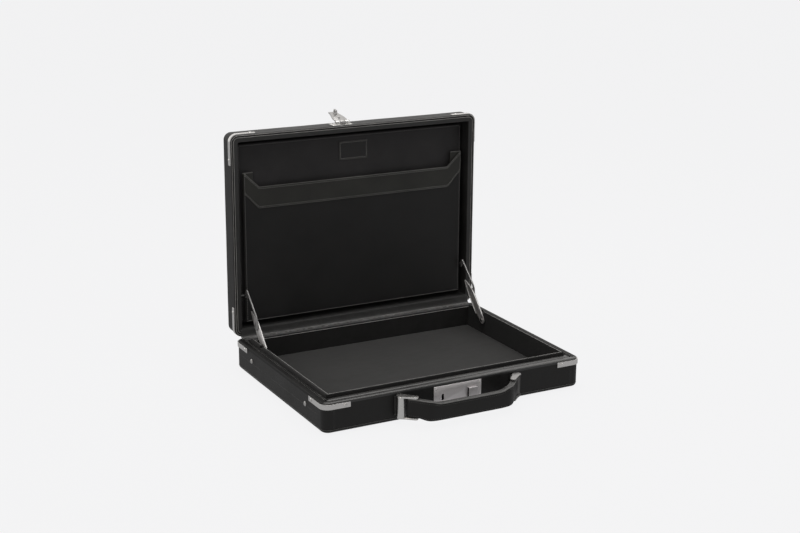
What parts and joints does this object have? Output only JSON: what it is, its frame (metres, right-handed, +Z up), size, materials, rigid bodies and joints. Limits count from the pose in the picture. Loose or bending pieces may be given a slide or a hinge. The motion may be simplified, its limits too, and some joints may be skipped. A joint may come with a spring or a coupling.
{
  "type": "attache case",
  "caption": "Shallow rigid case with a hinged lid, folding lid stays, corner straps, a pocket organiser, a hasp lock and a strap handle on the front.",
  "frame": {"origin": "the middle of the base's underside", "axes": "+X to the right along the front, +Y back towards the hinge, +Z up; the rest pose has the lid open at a right angle and the handle drawn out"},
  "size_m": [0.4052, 0.3765, 0.3627],
  "materials": {
    "case_leather": "fine-grained black leather, satin",
    "rim_leather": "smooth black leather over a rounded board edge, satin",
    "suede_lining": "soft matt charcoal suede",
    "pocket_leather": "pebble-grained soft black leather with stitching",
    "patch_leather": "smooth black leather with a stitched border",
    "flap_leather": "worn grey-black leather",
    "grip_leather": "fine-grained black leather with a raised edge",
    "strap_steel": "lightly brushed nickel plate",
    "stay_steel": "nickel plate",
    "handle_steel": "brushed nickel plate",
    "lock_steel": "brushed nickel plate",
    "polished_steel": "polished nickel plate",
    "dark_steel": "dark untreated steel"
  },
  "bodies": {
    "base": {"base_corner_front_left": "strap_steel", "base_corner_front_right": "strap_steel", "base_corner_rear_left": "strap_steel", "base_corner_rear_right": "strap_steel", "base_floor_pad": "suede_lining", "base_frame": "rim_leather", "base_lining": "suede_lining", "base_screw_front_left_a": "polished_steel", "base_screw_front_left_b": "polished_steel", "base_screw_front_right_a": "polished_steel", "base_screw_front_right_b": "polished_steel", "base_screw_rear_left_a": "polished_steel", "base_screw_rear_left_b": "polished_steel", "base_screw_rear_right_a": "polished_steel", "base_screw_rear_right_b": "polished_steel", "base_shell": "case_leather", "handle_mount_left": "handle_steel", "handle_mount_right": "handle_steel", "hinge_leaf_base": "strap_steel", "hinge_pin": "polished_steel", "lock_case": "dark_steel", "lock_plate": "lock_steel", "side_stud_left_front": "strap_steel", "side_stud_left_rear": "strap_steel", "side_stud_right_front": "strap_steel", "side_stud_right_rear": "strap_steel", "stay_stud_base_left": "polished_steel", "stay_stud_base_right": "polished_steel"},
    "lid": {"hasp_base": "lock_steel", "hasp_pin": "polished_steel", "hinge_flap": "flap_leather", "hinge_leaf_lid": "strap_steel", "lid_corner_front_left": "strap_steel", "lid_corner_front_right": "strap_steel", "lid_corner_rear_left": "strap_steel", "lid_corner_rear_right": "strap_steel", "lid_frame": "rim_leather", "lid_liner": "suede_lining", "lid_patch": "patch_leather", "lid_pocket": "pocket_leather", "lid_screw_front_left_a": "polished_steel", "lid_screw_front_left_b": "polished_steel", "lid_screw_front_right_a": "polished_steel", "lid_screw_front_right_b": "polished_steel", "lid_screw_rear_left_a": "polished_steel", "lid_screw_rear_left_b": "polished_steel", "lid_screw_rear_right_a": "polished_steel", "lid_screw_rear_right_b": "polished_steel", "lid_shell": "case_leather", "stay_stud_lid_left": "polished_steel", "stay_stud_lid_right": "polished_steel"},
    "stay_upper_left": {"stay_upper_left": "stay_steel"},
    "stay_lower_left": {"stay_lower_left": "stay_steel"},
    "stay_upper_right": {"stay_upper_right": "stay_steel"},
    "stay_lower_right": {"stay_lower_right": "stay_steel"},
    "hasp": {"hasp_leaf": "lock_steel"},
    "lock_button": {"lock_button": "lock_steel"},
    "grip": {"handle_grip": "grip_leather"},
    "yoke_left": {"handle_yoke_left": "handle_steel"},
    "yoke_right": {"handle_yoke_right": "handle_steel"}
  },
  "joints": [
    {"name": "lid_hinge", "type": "hinge", "parent": "base", "child": "lid", "pos_m": [0, 0.1505, 0.0433], "axis": [1, 0, 0], "range_deg": [0, 90]},
    {"name": "hasp_hinge", "type": "hinge", "parent": "lid", "child": "hasp", "pos_m": [-0.0232, 0.1553, 0.3473], "axis": [1, 0, 0], "range_deg": [0, 166]},
    {"name": "lock_button_slide", "type": "slide", "parent": "base", "child": "lock_button", "axis": [0, 1, 0], "range_m": [0, 0.0018]},
    {"name": "handle_slide", "type": "slide", "parent": "base", "child": "grip", "axis": [0, 1, 0], "range_m": [0, 0.004]},
    {"name": "handle_yoke_left_hinge", "type": "hinge", "parent": "base", "child": "yoke_left", "pos_m": [-0.09, -0.156, 0.0229], "axis": [0, 0, 1], "range_deg": [0, 10.5]},
    {"name": "handle_yoke_right_hinge", "type": "hinge", "parent": "base", "child": "yoke_right", "pos_m": [0.09, -0.156, 0.0229], "axis": [0, 0, 1], "range_deg": [-10.5, 0]},
    {"name": "stay_upper_left_pivot", "type": "hinge", "parent": "lid", "child": "stay_upper_left", "pos_m": [-0.1815, 0.154, 0.105], "axis": [1, 0, 0], "range_deg": [-118.02, 0]},
    {"name": "stay_lower_left_pivot", "type": "hinge", "parent": "base", "child": "stay_lower_left", "pos_m": [-0.1799, 0.0836, 0.034], "axis": [1, 0, 0], "range_deg": [0, 139.7]},
    {"name": "stay_upper_right_pivot", "type": "hinge", "parent": "lid", "child": "stay_upper_right", "pos_m": [0.1815, 0.154, 0.105], "axis": [1, 0, 0], "range_deg": [-118.02, 0]},
    {"name": "stay_lower_right_pivot", "type": "hinge", "parent": "base", "child": "stay_lower_right", "pos_m": [0.1799, 0.0836, 0.034], "axis": [1, 0, 0], "range_deg": [0, 139.7]}
  ],
  "couplings": [
    {"joint": "stay_upper_left_pivot", "follows": "lid_hinge", "ratio": -1.3058},
    {"joint": "stay_lower_left_pivot", "follows": "lid_hinge", "ratio": 1.5466},
    {"joint": "stay_upper_right_pivot", "follows": "lid_hinge", "ratio": -1.3058},
    {"joint": "stay_lower_right_pivot", "follows": "lid_hinge", "ratio": 1.5466},
    {"joint": "handle_yoke_left_hinge", "follows": "handle_slide", "rad_per_m": 44.899},
    {"joint": "handle_yoke_right_hinge", "follows": "handle_slide", "rad_per_m": -44.899}
  ]
}
